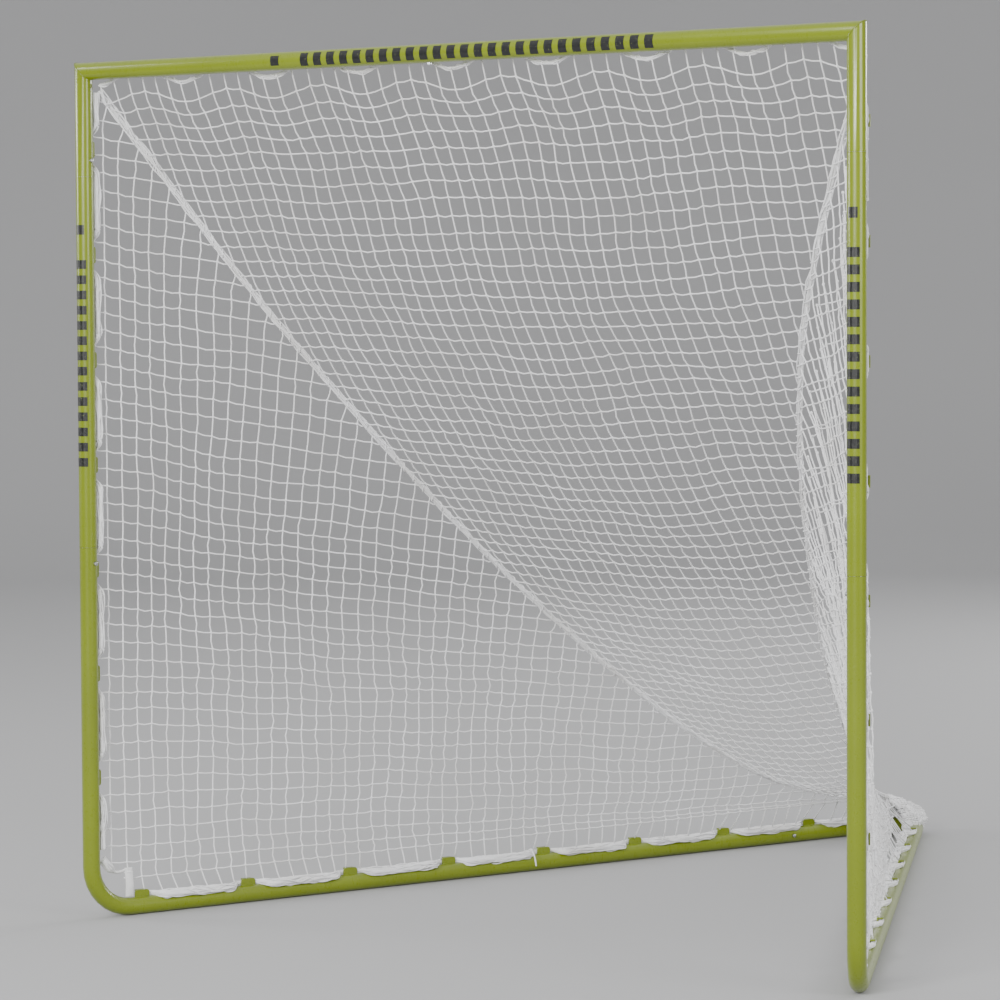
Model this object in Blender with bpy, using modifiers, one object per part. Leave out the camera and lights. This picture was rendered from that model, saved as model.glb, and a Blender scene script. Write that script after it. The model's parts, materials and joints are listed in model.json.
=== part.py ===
"""A lacrosse goal: a knock-down tube frame joined by sleeves and snap buttons,
with hooks welded along the tubes that carry the edge of a pyramid net.

Metres, +Z up. The mouth faces -Y and the two base bars run back along +Y to
the apex. X = 0 is the plane of symmetry, and the origin is on the ground at
the middle of the goal's footprint.
"""

import math

import bmesh
import bpy
from mathutils import Matrix, Vector

# ---- driving dimensions -------------------------------------------------
MOUTH = 1.8288                  # clear width and clear height, 6 ft
DEPTH = 2.1336                  # goal line to the back of the frame, 7 ft
TUBE_R = 0.01905                # 1.5 in steel tube
WALL = 0.0020
GAP = 0.0003                    # between parts that touch
SEAM = 0.0006                   # open joint line between two tube sections

BEND_R = 0.095                  # centre-line radius of the bottom front bends
APEX_R = 0.060                  # and of the rear bend
UPPER_SEAM_Z = 1.620
LOWER_SEAM_Z = 0.815
REAR_SEAM = 1.930               # from the post along the base bar
SLEEVE_LENGTH = 0.150
SLEEVE_WALL = 0.0018
SLEEVE_R = TUBE_R - WALL - 0.0005    # slides into the tubes
SLEEVE_BORE = SLEEVE_R - SLEEVE_WALL

BUTTON_OFFSET = 0.035           # button from its seam
BUTTON_R = 0.0045
BUTTON_HEIGHT = 0.0058          # it stands this far out of the tube
FLANGE_R = 0.0060
FLANGE_T = 0.0012
HOLE_R = BUTTON_R + GAP

SPRING_WIDTH = 0.010
SPRING_T = 0.0008

HOOK_LENGTH = 0.036             # along the tube
HOOK_RISE = 0.0150              # tube surface to the top of the hook
HOOK_LIP = 0.0130               # how far the lip leans over the net's edge
HOOK_T = 0.0035
HOOK_ROOT = 0.0012              # how deep the weld sinks the hook into the wall
POST_HOOK_PITCH = 0.2286        # 9 in
POST_HOOK_TOP = 1.680
BASE_HOOK_PITCH = 0.272
BASE_HOOK_FIRST = 0.125
BAR_HOOK_PITCH = 0.2286

NET_T = 0.0040
ROPE_R = 0.0048                 # the net's edge and seam ropes
ROPE_GAP = 0.0006
HOOD_T = 0.0100                 # net bunched over the apex
HOOD_WIDTH = 0.110
# where the slack seam ropes hang between the top corners and the apex: half
# width of the goal there, distance back from the goal line, height
SEAM_SAG = [(0.620, 0.372, 1.235), (0.365, 0.936, 0.653), (0.164, 1.552, 0.224)]
PEAK_BACK = 2.0586              # the seams' end above the apex
PEAK_HEIGHT = 0.085
NET_CLEAR = 0.014               # net panel from its seam rope
SEAM_HEAD_DROP = 0.012          # the seams' upper ends, below the crossbar's centre
SEAM_SHARES = (0.016, 0.990)    # the part of each seam that its rope covers
SEAM_STEPS = 18
SEAM_END_GAP = 0.008            # each seam rope's end from the middle
SIDE_SHARES = (0.036, 0.830)    # the part of its seam that a side panel runs along
SIDE_STEPS = 12
SIDE_FLOOR = 0.062              # a side panel's lower edge at the post
SIDE_REAR_RISE = 0.016          # and above the seams' end
BACK_SHARES = (0.024, 0.930)
BACK_STEPS = 13
CROSSBAR_ROPE_END = 0.015       # ropes' ends from the corners
POST_ROPE_SPAN = (0.100, 0.042) # its foot's height, and its head below the crossbar
BASE_ROPE_SPAN = (0.100, 0.200) # its ends from the post and from the bars' crossing

TUBE_SIDES = 24
TUBE_RESOLUTION = TUBE_SIDES // 2 - 2

POST_X = MOUTH / 2 + TUBE_R
BAR_Z = MOUTH + TUBE_R
BASE_Z = TUBE_R * math.cos(math.pi / TUBE_SIDES)    # a flat of the tube is down
REAR_HALF_ANGLE = math.atan2(POST_X, DEPTH)
# where the two base bars' centre lines would cross, behind the rounded apex
APEX_Y = DEPTH - TUBE_R + APEX_R * (1 / math.sin(REAR_HALF_ANGLE) - 1)
BASE_LENGTH = math.hypot(POST_X, APEX_Y)
LINE_Y = -(DEPTH + HOOD_T + ROPE_GAP - TUBE_R) / 2    # the goal line

UP = Vector((0, 0, 1))
BACK = Vector((0, 1, 0))

PAINT = (0.33, 0.40, 0.012)
ZINC = (0.55, 0.56, 0.57)
SPRING_STEEL = (0.36, 0.37, 0.39)
CORD = (0.78, 0.78, 0.79)


# ---- scene --------------------------------------------------------------
for old in list(bpy.data.objects):
    bpy.data.objects.remove(old, do_unlink=True)

GOAL = bpy.data.collections.new("lacrosse_goal")
CUTTERS = bpy.data.collections.new("cutters")
bpy.context.scene.collection.children.link(GOAL)
bpy.context.scene.collection.children.link(CUTTERS)


def material(name, color, roughness, metallic):
    made = bpy.data.materials.new(name)
    made.use_nodes = True
    shader = made.node_tree.nodes["Principled BSDF"]
    shader.inputs["Base Color"].default_value = (*color, 1.0)
    shader.inputs["Roughness"].default_value = roughness
    shader.inputs["Metallic"].default_value = metallic
    made.diffuse_color = (*color, 1.0)
    return made


def add_object(name, data, look, collection=GOAL):
    """Link an object under this name with its own copy of the material."""
    thing = bpy.data.objects.new(name, data)
    collection.objects.link(thing)
    if look is not None:
        data.materials.append(material(name + "_look", *look))
    return thing


def finished(work, name):
    """The bmesh as a mesh with its faces pointing out."""
    bmesh.ops.recalc_face_normals(work, faces=work.faces)
    mesh = bpy.data.meshes.new(name)
    work.to_mesh(mesh)
    work.free()
    return mesh


PAINTED = (PAINT, 0.30, 0.0)
PLATED = (ZINC, 0.35, 1.0)
SPRUNG = (SPRING_STEEL, 0.40, 1.0)
CORDED = (CORD, 0.85, 0.0)


# ---- frames of reference along the tubes ---------------------------------
def at(x, y, z):
    """A point whose y is measured back from the goal line."""
    return Vector((x, y + LINE_Y, z))


def side_point(side, x, y, z):
    """The same, for the left half or the right half."""
    return at(-x if side == "left" else x, y, z)


def bar_direction(side):
    """From the foot of a post to the apex, along its base bar."""
    toward = 1 if side == "left" else -1
    return Vector((toward * POST_X, APEX_Y, 0)).normalized()


def bar_point(side, distance):
    return side_point(side, POST_X, 0, BASE_Z) + bar_direction(side) * distance


def outward(side):
    """Level, square to the base bar, away from the inside of the goal."""
    away = bar_direction(side).cross(UP)
    return -away if side == "left" else away


def place(along, out, origin):
    """Matrix whose X axis runs along a tube and whose Z axis points out."""
    x, z = along.normalized(), out.normalized()
    y = z.cross(x)
    turn = Matrix((x, y, z)).transposed().to_4x4()
    return Matrix.Translation(origin) @ turn


# ---- tubes ----------------------------------------------------------------
def bend_points(corner, start, end, radius, steps):
    """Points of an arc that rounds the corner between start and end."""
    a, b = (start - corner).normalized(), (end - corner).normalized()
    half = a.angle(b) / 2
    reach = radius / math.tan(half)
    centre = corner + (a + b).normalized() * (radius / math.sin(half))
    first, last = corner + a * reach - centre, corner + b * reach - centre
    swing = first.angle(last)
    axis = first.cross(last).normalized()
    return [centre + Matrix.Rotation(swing * i / steps, 3, axis) @ first
            for i in range(steps + 1)]


def poly_curve(name, points, radius, caps, resolution=TUBE_RESOLUTION, tilt=0.0):
    curve = bpy.data.curves.new(name, "CURVE")
    curve.dimensions = "3D"
    curve.twist_mode = "MINIMUM"
    curve.bevel_depth = radius
    curve.bevel_resolution = resolution
    curve.use_fill_caps = caps
    spline = curve.splines.new("POLY")
    spline.points.add(len(points) - 1)
    for slot, point in zip(spline.points, points):
        slot.co = (*point, 1.0)
        slot.tilt = tilt
    return curve


def mesh_of(curve, name):
    """The curve's surface as a welded mesh; the curve itself is dropped."""
    guide = bpy.data.objects.new(name + "_guide", curve)
    CUTTERS.objects.link(guide)
    depsgraph = bpy.context.evaluated_depsgraph_get()
    mesh = bpy.data.meshes.new_from_object(guide.evaluated_get(depsgraph))
    mesh.name = name
    bpy.data.objects.remove(guide, do_unlink=True)
    work = bmesh.new()
    work.from_mesh(mesh)
    bmesh.ops.remove_doubles(work, verts=work.verts, dist=1e-6)
    bmesh.ops.recalc_face_normals(work, faces=work.faces)
    work.to_mesh(mesh)
    work.free()
    return mesh


def tube_skin(name, points, radius, tilt=0.0):
    """The open skin of a tube along the points, facing out."""
    return mesh_of(poly_curve(name, points, radius, False, tilt=tilt), name)


def add_tube(name, skin, wall, look):
    """A hollow tube: an open skin thickened inwards, its ends left open."""
    tube = add_object(name, skin, look)
    shell = tube.modifiers.new("wall", "SOLIDIFY")
    shell.thickness = wall
    shell.offset = -1.0
    shell.use_even_offset = True
    return tube


def mitred_skin(corner, end_a, end_b, radius):
    """Open skin of two tubes that meet in a mitre at the corner."""
    a, b = (end_a - corner).normalized(), (end_b - corner).normalized()
    split = (a - b).normalized()
    middle = (a + b).normalized()
    across = a.cross(b).normalized()
    turns = [2 * math.pi * (i + 0.5) / TUBE_SIDES for i in range(TUBE_SIDES)]
    ring = [(across * math.cos(turn), math.sin(turn)) for turn in turns]
    work = bmesh.new()

    def add_ring(origin, direction, mitre):
        verts = []
        up = direction.cross(across).normalized()
        if up.dot(middle) < 0:
            up = -up
        for side, rise in ring:
            point = origin + radius * (side + up * rise)
            if mitre:
                # slide along the tube until the point lies on the mitre plane
                point = point - direction * ((point - corner).dot(split) / direction.dot(split))
            verts.append(work.verts.new(point))
        return verts

    rings = [add_ring(end_a, a, False), add_ring(corner, a, True), add_ring(end_b, b, False)]
    for first, second in zip(rings, rings[1:]):
        for i in range(TUBE_SIDES):
            j = (i + 1) % TUBE_SIDES
            work.faces.new((first[i], first[j], second[j], second[i]))
    return finished(work, "mitre")


# ---- hooks ------------------------------------------------------------------
def hook_mesh(placings):
    """One closed L-shaped hook at each placing: a wall with a lip on top."""
    work = bmesh.new()
    half = HOOK_LENGTH / 2
    corner = 0.006
    low = TUBE_R - HOOK_ROOT
    top = TUBE_R + HOOK_RISE
    for matrix in placings:
        # outline of the wall in the plane along the tube, round at its top corners
        outline = [(-half, low), (half, low)]
        for i in range(5):
            angle = math.pi / 2 * i / 4
            outline.append((half - corner + corner * math.cos(angle),
                            top - corner + corner * math.sin(angle)))
        for i in range(5):
            angle = math.pi / 2 * (1 + i / 4)
            outline.append((-half + corner + corner * math.cos(angle),
                            top - corner + corner * math.sin(angle)))
        front = [work.verts.new(matrix @ Vector((x, -HOOK_T / 2, z))) for x, z in outline]
        back = [work.verts.new(matrix @ Vector((x, HOOK_T / 2, z))) for x, z in outline]
        work.faces.new(front)
        work.faces.new(list(reversed(back)))
        for i in range(len(outline)):
            j = (i + 1) % len(outline)
            work.faces.new((front[j], front[i], back[i], back[j]))
        lip_half = half - corner
        lip = bmesh.ops.create_cube(work, size=1.0)["verts"]
        size = Matrix.Diagonal((2 * lip_half, HOOK_LIP, HOOK_T, 1))
        shift = Matrix.Translation((0, HOOK_LIP / 2 - HOOK_T / 4, top - HOOK_T / 2 - 0.0002))
        bmesh.ops.transform(work, matrix=matrix @ shift @ size, verts=lip)
    return finished(work, "hooks")


def cutter(name, mesh):
    thing = add_object(name, mesh, None, CUTTERS)
    thing.hide_render = True
    thing.display_type = "WIRE"
    return thing


def boolean(target, tool, operation):
    step = target.modifiers.new(operation.lower(), "BOOLEAN")
    step.operation = operation
    step.solver = "EXACT"
    step.use_self = operation == "UNION"
    step.object = tool
    return step


def weld_hooks(tube, placings):
    if placings:
        boolean(tube, cutter(tube.name + "_hooks", hook_mesh(placings)), "UNION")


def drill(tube, points):
    """Round holes for snap buttons, each given as a placing."""
    for number, matrix in enumerate(points):
        work = bmesh.new()
        bmesh.ops.create_cone(work, cap_ends=True, segments=20, radius1=HOLE_R,
                              radius2=HOLE_R, depth=0.030)
        bmesh.ops.transform(work, matrix=matrix @ Matrix.Translation((0, 0, 0.022)),
                            verts=work.verts)
        hole = cutter(f"{tube.name}_hole_{number}", finished(work, "hole"))
        boolean(tube, hole, "DIFFERENCE")


# ---- where the hooks sit ----------------------------------------------------
def post_hook_heights():
    heights, z = [], POST_HOOK_TOP
    while z > 0.25:
        heights.append(z)
        z -= POST_HOOK_PITCH
    return heights


def post_hook(side, z):
    """Behind the post; the lip leans away from the mouth."""
    lip = Vector((-1 if side == "left" else 1, 0, 0))
    return frame_with_lip(BACK, lip, side_point(side, POST_X, 0, z))


def base_hook(side, distance):
    """On top of the base bar; the lip leans outwards."""
    return frame_with_lip(UP, outward(side), bar_point(side, distance))


def crossbar_hook(x):
    """Behind the crossbar; the lip leans up."""
    return frame_with_lip(BACK, UP, at(x, 0, BAR_Z))


def frame_with_lip(out, lip, origin):
    """Placing whose Z is out of the tube and whose Y is the way the lip leans."""
    x = lip.cross(out)
    turn = Matrix((x, lip, out)).transposed().to_4x4()
    return Matrix.Translation(origin) @ turn


def base_hook_distances(low, high):
    found, distance = [], BASE_HOOK_FIRST
    while distance < BASE_LENGTH - 0.10:
        if low < distance < high:
            found.append(distance)
        distance += BASE_HOOK_PITCH
    return found


# ---- frame sections -----------------------------------------------------------
def smooth(thing):
    thing.data.shade_smooth()
    thing.data.set_sharp_from_angle(angle=math.radians(40))


def make_corner(side):
    """Half of the crossbar, mitred and welded to the top of a post."""
    corner = side_point(side, POST_X, 0, BAR_Z)
    middle = side_point(side, SEAM / 2, 0, BAR_Z)
    stub = side_point(side, POST_X, 0, UPPER_SEAM_Z + SEAM / 2)
    tube = add_tube(f"corner_{side}", mitred_skin(corner, middle, stub, TUBE_R), WALL, PAINTED)
    sign = -1 if side == "left" else 1
    bar_hooks = [crossbar_hook(sign * (i + 0.5) * BAR_HOOK_PITCH) for i in range(4)]
    post_hooks = [post_hook(side, z) for z in post_hook_heights() if z > UPPER_SEAM_Z]
    weld_hooks(tube, bar_hooks + post_hooks)
    holes = [BUTTONS[f"upper_{side}"]]
    if side == "left":
        holes.append(BUTTONS["crossbar"])
    drill(tube, holes)
    smooth(tube)


def make_mid_post(side):
    low = side_point(side, POST_X, 0, LOWER_SEAM_Z + SEAM / 2)
    high = side_point(side, POST_X, 0, UPPER_SEAM_Z - SEAM / 2)
    tube = add_tube(f"post_{side}", tube_skin("post", [low, high], TUBE_R), WALL, PAINTED)
    weld_hooks(tube, [post_hook(side, z) for z in post_hook_heights()
                      if LOWER_SEAM_Z < z < UPPER_SEAM_Z])
    smooth(tube)


def make_lower(side):
    """Foot of the post, the front bend and most of the base bar, in one tube."""
    top = side_point(side, POST_X, 0, LOWER_SEAM_Z - SEAM / 2)
    foot = side_point(side, POST_X, 0, BASE_Z)
    end = bar_point(side, REAR_SEAM - SEAM / 2)
    path = [top] + bend_points(foot, top, end, BEND_R, 8) + [end]
    tube = add_tube(f"lower_{side}", tube_skin("lower", path, TUBE_R), WALL, PAINTED)
    hooks = [post_hook(side, z) for z in post_hook_heights() if z < LOWER_SEAM_Z]
    hooks += [base_hook(side, d) for d in base_hook_distances(0, REAR_SEAM)]
    weld_hooks(tube, hooks)
    drill(tube, [BUTTONS[f"lower_{side}"]])
    smooth(tube)


def make_apex():
    """The rear section, bent to a V that closes the base."""
    apex = at(0, APEX_Y, BASE_Z)
    left = bar_point("left", REAR_SEAM + SEAM / 2)
    right = bar_point("right", REAR_SEAM + SEAM / 2)
    path = [left] + bend_points(apex, left, right, APEX_R, 10) + [right]
    half_facet = math.pi / TUBE_SIDES    # turns a flat of the tube down
    tube = add_tube("apex", tube_skin("apex", path, TUBE_R, half_facet), WALL, PAINTED)
    hooks = []
    for side in ("left", "right"):
        hooks += [base_hook(side, d) for d in base_hook_distances(REAR_SEAM, BASE_LENGTH)]
    weld_hooks(tube, hooks)
    drill(tube, [BUTTONS["rear_left"], BUTTONS["rear_right"]])
    smooth(tube)


# ---- sleeves, buttons and springs ------------------------------------------------
def button_places():
    """Placings of the seven snap buttons: X along the tube, Z out of it."""
    places = {"crossbar": place(Vector((1, 0, 0)), Vector((0, 0, -1)),
                                at(-BUTTON_OFFSET, 0, BAR_Z))}
    for side in ("left", "right"):
        inward = Vector((1 if side == "left" else -1, 0, 0))
        places[f"upper_{side}"] = place(
            -UP, inward, side_point(side, POST_X, 0, UPPER_SEAM_Z + BUTTON_OFFSET))
        places[f"lower_{side}"] = place(
            UP, inward, side_point(side, POST_X, 0, LOWER_SEAM_Z - BUTTON_OFFSET))
        places[f"rear_{side}"] = place(
            -bar_direction(side), -outward(side), bar_point(side, REAR_SEAM + BUTTON_OFFSET))
    return places


def make_sleeve(name, centre, direction):
    half = direction.normalized() * SLEEVE_LENGTH / 2
    skin = tube_skin(name, [centre - half, centre + half], SLEEVE_R)
    tube = add_tube(f"sleeve_{name}", skin, SLEEVE_WALL, PLATED)
    drill(tube, [BUTTONS[name]])
    smooth(tube)


def make_button(name):
    """A domed button with a flange that stops it against the sleeve."""
    top = TUBE_R + BUTTON_HEIGHT
    flange = FLANGE_TOP
    profile = [(BUTTON_R * math.sin(math.pi / 2 * i / 6) if i else 0.0,
                top - BUTTON_R * 0.55 * (1 - math.cos(math.pi / 2 * i / 6)))
               for i in range(7)]
    profile += [(BUTTON_R, flange), (FLANGE_R, flange), (FLANGE_R, flange - FLANGE_T),
                (0.0, flange - FLANGE_T)]
    mesh = turned(profile, 20)
    thing = add_object(f"button_{name}", mesh, PLATED)
    thing.matrix_world = BUTTONS[name]
    smooth(thing)


def turned(profile, sides):
    """A closed solid turned about Z from (radius, height) points, top to bottom."""
    work = bmesh.new()
    rings = []
    for radius, height in profile:
        if radius == 0.0:
            rings.append([work.verts.new((0, 0, height))])
            continue
        rings.append([work.verts.new((radius * math.cos(2 * math.pi * i / sides),
                                      radius * math.sin(2 * math.pi * i / sides), height))
                      for i in range(sides)])
    for upper, lower in zip(rings, rings[1:]):
        for i in range(sides):
            j = (i + 1) % sides
            corners = [upper[i % len(upper)], upper[j % len(upper)],
                       lower[j % len(lower)], lower[i % len(lower)]]
            kept = []
            for vert in corners:
                if vert not in kept:
                    kept.append(vert)
            work.faces.new(kept)
    return finished(work, "turned")


def make_spring(name):
    """A strip folded to a V: one leg lies in the sleeve, the other lifts the button."""
    floor = -SLEEVE_BORE + 0.0018
    head = FLANGE_TOP - FLANGE_T - GAP
    fold = -0.026
    nose = 0.009
    centre_line = [(0.022, floor + SPRING_T / 2), (fold, floor + SPRING_T / 2)]
    turn_r = 0.0022
    for i in range(1, 6):
        angle = -math.pi / 2 - math.pi * i / 6
        centre_line.append((fold + turn_r * math.cos(angle),
                            floor + SPRING_T / 2 + turn_r + turn_r * math.sin(angle)))
    centre_line += [(-0.009, head - SPRING_T / 2), (nose, head - SPRING_T / 2)]
    mesh = strip(centre_line, SPRING_T, SPRING_WIDTH)
    thing = add_object(f"spring_{name}", mesh, SPRUNG)
    thing.matrix_world = BUTTONS[name]
    smooth(thing)


def strip(line, thickness, width):
    """A bent strip of constant thickness along a line in the XZ plane."""
    left, right = [], []
    for i, (x, z) in enumerate(line):
        before = line[max(i - 1, 0)]
        after = line[min(i + 1, len(line) - 1)]
        ahead = Vector((after[0] - before[0], after[1] - before[1])).normalized()
        normal = Vector((-ahead.y, ahead.x)) * thickness / 2
        left.append((x + normal.x, z + normal.y))
        right.append((x - normal.x, z - normal.y))
    outline = left + right[::-1]
    work = bmesh.new()
    front = [work.verts.new((x, -width / 2, z)) for x, z in outline]
    back = [work.verts.new((x, width / 2, z)) for x, z in outline]
    count = len(line)
    for side, flip in ((front, False), (back, True)):
        for i in range(count - 1):
            quad = [side[i], side[i + 1], side[2 * count - 2 - i], side[2 * count - 1 - i]]
            work.faces.new(quad[::-1] if flip else quad)
    for i in range(len(outline)):
        j = (i + 1) % len(outline)
        work.faces.new((front[i], front[j], back[j], back[i]))
    return finished(work, "strip")


# ---- net ---------------------------------------------------------------------------
def rope_offset(out, lip):
    """From a tube's centre line to the rope that its hooks hold."""
    return (out * (TUBE_R + ROPE_GAP + ROPE_R)
            + lip * (HOOK_T / 2 + ROPE_GAP + ROPE_R))


def post_rope(side, z):
    lip = Vector((-1 if side == "left" else 1, 0, 0))
    return side_point(side, POST_X, 0, z) + rope_offset(BACK, lip)


def base_rope(side, distance):
    return bar_point(side, distance) + rope_offset(UP, outward(side))


def crossbar_rope(x):
    return at(x, 0, BAR_Z) + rope_offset(BACK, UP)


def smooth_point(points, share):
    """Point at a share of the way along a smooth curve through the points."""
    spans = len(points) - 1
    i = min(int(share * spans), spans - 1)
    u = share * spans - i
    b, c = points[i], points[i + 1]
    a = points[i - 1] if i else b * 2 - c
    d = points[i + 2] if i + 2 <= spans else c * 2 - b
    return 0.5 * (2 * b + (c - a) * u + (2 * a - 5 * b + 4 * c - d) * u ** 2
                  + (3 * b - a - 3 * c + d) * u ** 3)


def seam_point(side, share):
    """Along the rope that joins the back panel to a side panel, top corner to apex."""
    route = [post_rope(side, BAR_Z - SEAM_HEAD_DROP)]
    route += [side_point(side, *point) for point in SEAM_SAG]
    route.append(at(0, PEAK_BACK, PEAK_HEIGHT))
    return smooth_point(route, share)


def even_shares(span, steps):
    first, last = span
    return [first + (last - first) * i / steps for i in range(steps + 1)]


def floor_edge(side, y):
    """Bottom edge of a side panel, just inside the base bar, at a place along Y."""
    front = post_rope(side, SIDE_FLOOR)
    rear = at(0, PEAK_BACK, PEAK_HEIGHT + SIDE_REAR_RISE)
    return front.lerp(rear, (y - front.y) / (rear.y - front.y))


def sheet_between(name, first, second, thickness):
    """A thin curved solid: straight strips between two rails of matching points."""
    work = bmesh.new()
    skins = []
    for turn in (-0.5, 0.5):
        rails = ([], [])
        for i in range(len(first)):
            before, after = max(i - 1, 0), min(i + 1, len(first) - 1)
            ahead = (first[after] - first[before]) + (second[after] - second[before])
            normal = ahead.cross(second[i] - first[i]).normalized()
            for rail, point in zip(rails, (first[i], second[i])):
                rail.append(work.verts.new(point + normal * thickness * turn))
        skins.append(rails)
    for (near, far), flip in ((skins[0], False), (skins[1], True)):
        for i in range(len(first) - 1):
            # the strips are twisted, so both skins are cut along the same diagonal
            for face in ((near[i], near[i + 1], far[i + 1]), (near[i], far[i + 1], far[i])):
                work.faces.new(face[::-1] if flip else face)
    lower = skins[0][0] + skins[0][1][::-1]
    upper = skins[1][0] + skins[1][1][::-1]
    for i in range(len(lower)):
        j = (i + 1) % len(lower)
        work.faces.new((lower[j], lower[i], upper[i], upper[j]))
    add_object(name, finished(work, name), CORDED)


def make_net():
    """Three sagging panels, the ropes along their edges and the hood at the apex."""
    reach = POST_X - CROSSBAR_ROPE_END
    rope("edge_crossbar", [crossbar_rope(-reach), crossbar_rope(reach)])
    foot, head = POST_ROPE_SPAN
    near, far = BASE_ROPE_SPAN
    for side in ("left", "right"):
        line = [seam_point(side, share) for share in even_shares(SEAM_SHARES, SEAM_STEPS)]
        line[-1].x += -SEAM_END_GAP if side == "left" else SEAM_END_GAP
        rope(f"seam_rope_{side}", line)
        rope(f"edge_post_{side}", [post_rope(side, BAR_Z - head), post_rope(side, foot)])
        rope(f"edge_base_{side}", [base_rope(side, near), base_rope(side, BASE_LENGTH - far)])
        make_side_panel(side)
    make_back_panel()
    make_hood()


def make_side_panel(side):
    seam, floor = [], []
    for share in even_shares(SIDE_SHARES, SIDE_STEPS):
        high = seam_point(side, share)
        low = floor_edge(side, high.y)
        seam.append(high + (low - high).normalized() * NET_CLEAR)
        floor.append(low)
    sheet_between(f"net_{side}", seam, floor, NET_T)


def make_back_panel():
    left, right = [], []
    across = Vector((NET_CLEAR, 0, 0))
    for share in even_shares(BACK_SHARES, BACK_STEPS):
        left.append(seam_point("left", share) + across)
        right.append(seam_point("right", share) - across)
    sheet_between("net_back", left, right, NET_T)


def make_hood():
    """Net gathered over the apex: up the inside, over the tube and down its back."""
    top = 2 * TUBE_R + ROPE_GAP
    back = DEPTH + ROPE_GAP
    inside = [(back - 0.066, top + 0.012), (back - 0.030, top + 0.004), (back - 0.012, top),
              (back, top - 0.010), (back, 0.020)]
    outside = [(back + HOOD_T, 0.018), (back + HOOD_T, top + 0.002),
               (back - 0.004, top + HOOD_T + 0.004), (back - 0.026, top + HOOD_T + 0.014),
               (back - 0.066, top + 0.026)]
    work = bmesh.new()
    outline = inside + outside
    sides = []
    for x in (-HOOD_WIDTH / 2, HOOD_WIDTH / 2):
        sides.append([work.verts.new(at(x, y, z)) for y, z in outline])
    count = len(outline)
    for near, flip in ((sides[0], False), (sides[1], True)):
        for i in range(len(inside) - 1):
            quad = [near[i], near[i + 1], near[count - 2 - i], near[count - 1 - i]]
            work.faces.new(quad[::-1] if flip else quad)
    for i in range(count):
        j = (i + 1) % count
        work.faces.new((sides[0][i], sides[0][j], sides[1][j], sides[1][i]))
    add_object("apex_hood", finished(work, "hood"), CORDED)


def rope(name, points):
    curve = poly_curve(name, points, ROPE_R, True, 2)
    return add_object(name, curve, CORDED)


# ---- assembly ----------------------------------------------------------------------
FLANGE_TOP = math.sqrt(SLEEVE_BORE ** 2 - FLANGE_R ** 2) - 0.0006
BUTTONS = button_places()
SLEEVES = {"crossbar": (at(0, 0, BAR_Z), Vector((1, 0, 0)))}
for hand in ("left", "right"):
    SLEEVES[f"upper_{hand}"] = (side_point(hand, POST_X, 0, UPPER_SEAM_Z), UP)
    SLEEVES[f"lower_{hand}"] = (side_point(hand, POST_X, 0, LOWER_SEAM_Z), UP)
    SLEEVES[f"rear_{hand}"] = (bar_point(hand, REAR_SEAM), bar_direction(hand))
    make_corner(hand)
    make_mid_post(hand)
    make_lower(hand)
make_apex()
for label, (middle_point, axis_direction) in SLEEVES.items():
    make_sleeve(label, middle_point, axis_direction)
    make_button(label)
    make_spring(label)
make_net()
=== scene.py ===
"""The looks of the lacrosse goal: knotted net, ropes, lashings, welds and finishes
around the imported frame. Metres; the mouth faces -Y and X = 0 is the middle.
"""

import json
import math
import random

import bmesh
import bpy
import numpy as np
from mathutils import Matrix, Vector, noise


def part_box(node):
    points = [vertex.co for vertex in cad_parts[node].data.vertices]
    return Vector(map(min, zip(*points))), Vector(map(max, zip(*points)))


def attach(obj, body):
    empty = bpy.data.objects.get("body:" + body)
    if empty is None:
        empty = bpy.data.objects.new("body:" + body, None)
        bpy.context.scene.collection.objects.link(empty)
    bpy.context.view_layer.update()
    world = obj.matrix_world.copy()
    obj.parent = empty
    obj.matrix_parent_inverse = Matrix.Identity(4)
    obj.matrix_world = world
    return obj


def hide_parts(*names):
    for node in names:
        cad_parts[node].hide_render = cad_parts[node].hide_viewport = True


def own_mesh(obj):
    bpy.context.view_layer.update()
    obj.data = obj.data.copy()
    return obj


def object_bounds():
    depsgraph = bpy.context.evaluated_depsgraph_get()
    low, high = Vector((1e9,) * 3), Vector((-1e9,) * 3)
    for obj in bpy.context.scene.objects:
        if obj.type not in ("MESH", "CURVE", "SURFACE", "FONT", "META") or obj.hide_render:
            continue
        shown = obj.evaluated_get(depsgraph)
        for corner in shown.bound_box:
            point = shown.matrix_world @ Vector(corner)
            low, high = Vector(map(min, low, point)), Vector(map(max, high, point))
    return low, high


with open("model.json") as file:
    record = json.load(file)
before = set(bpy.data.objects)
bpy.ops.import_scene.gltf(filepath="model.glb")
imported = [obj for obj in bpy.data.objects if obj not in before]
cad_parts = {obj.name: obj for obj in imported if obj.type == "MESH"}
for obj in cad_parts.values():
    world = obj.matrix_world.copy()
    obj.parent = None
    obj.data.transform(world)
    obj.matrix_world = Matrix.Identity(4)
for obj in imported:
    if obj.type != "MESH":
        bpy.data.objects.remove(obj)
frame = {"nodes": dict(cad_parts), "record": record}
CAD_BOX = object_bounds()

noise.seed_set(1)               # unset, the net's folds would follow the clock

# ---- places read from the frame ---------------------------------------------
UP = Vector((0, 0, 1))
BACK = Vector((0, 1, 0))


def centre(node):
    low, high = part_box(node)
    return (low + high) / 2


def extent(node):
    low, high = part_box(node)
    return high - low


TUBE_R = extent("post_left").x / 2
POST_X = centre("sleeve_upper_right").x
LINE_Y = centre("sleeve_upper_right").y
BAR_Z = centre("sleeve_crossbar").z
BASE_Z = centre("sleeve_rear_right").z
FLOOR_Z = CAD_BOX[0].z

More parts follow.
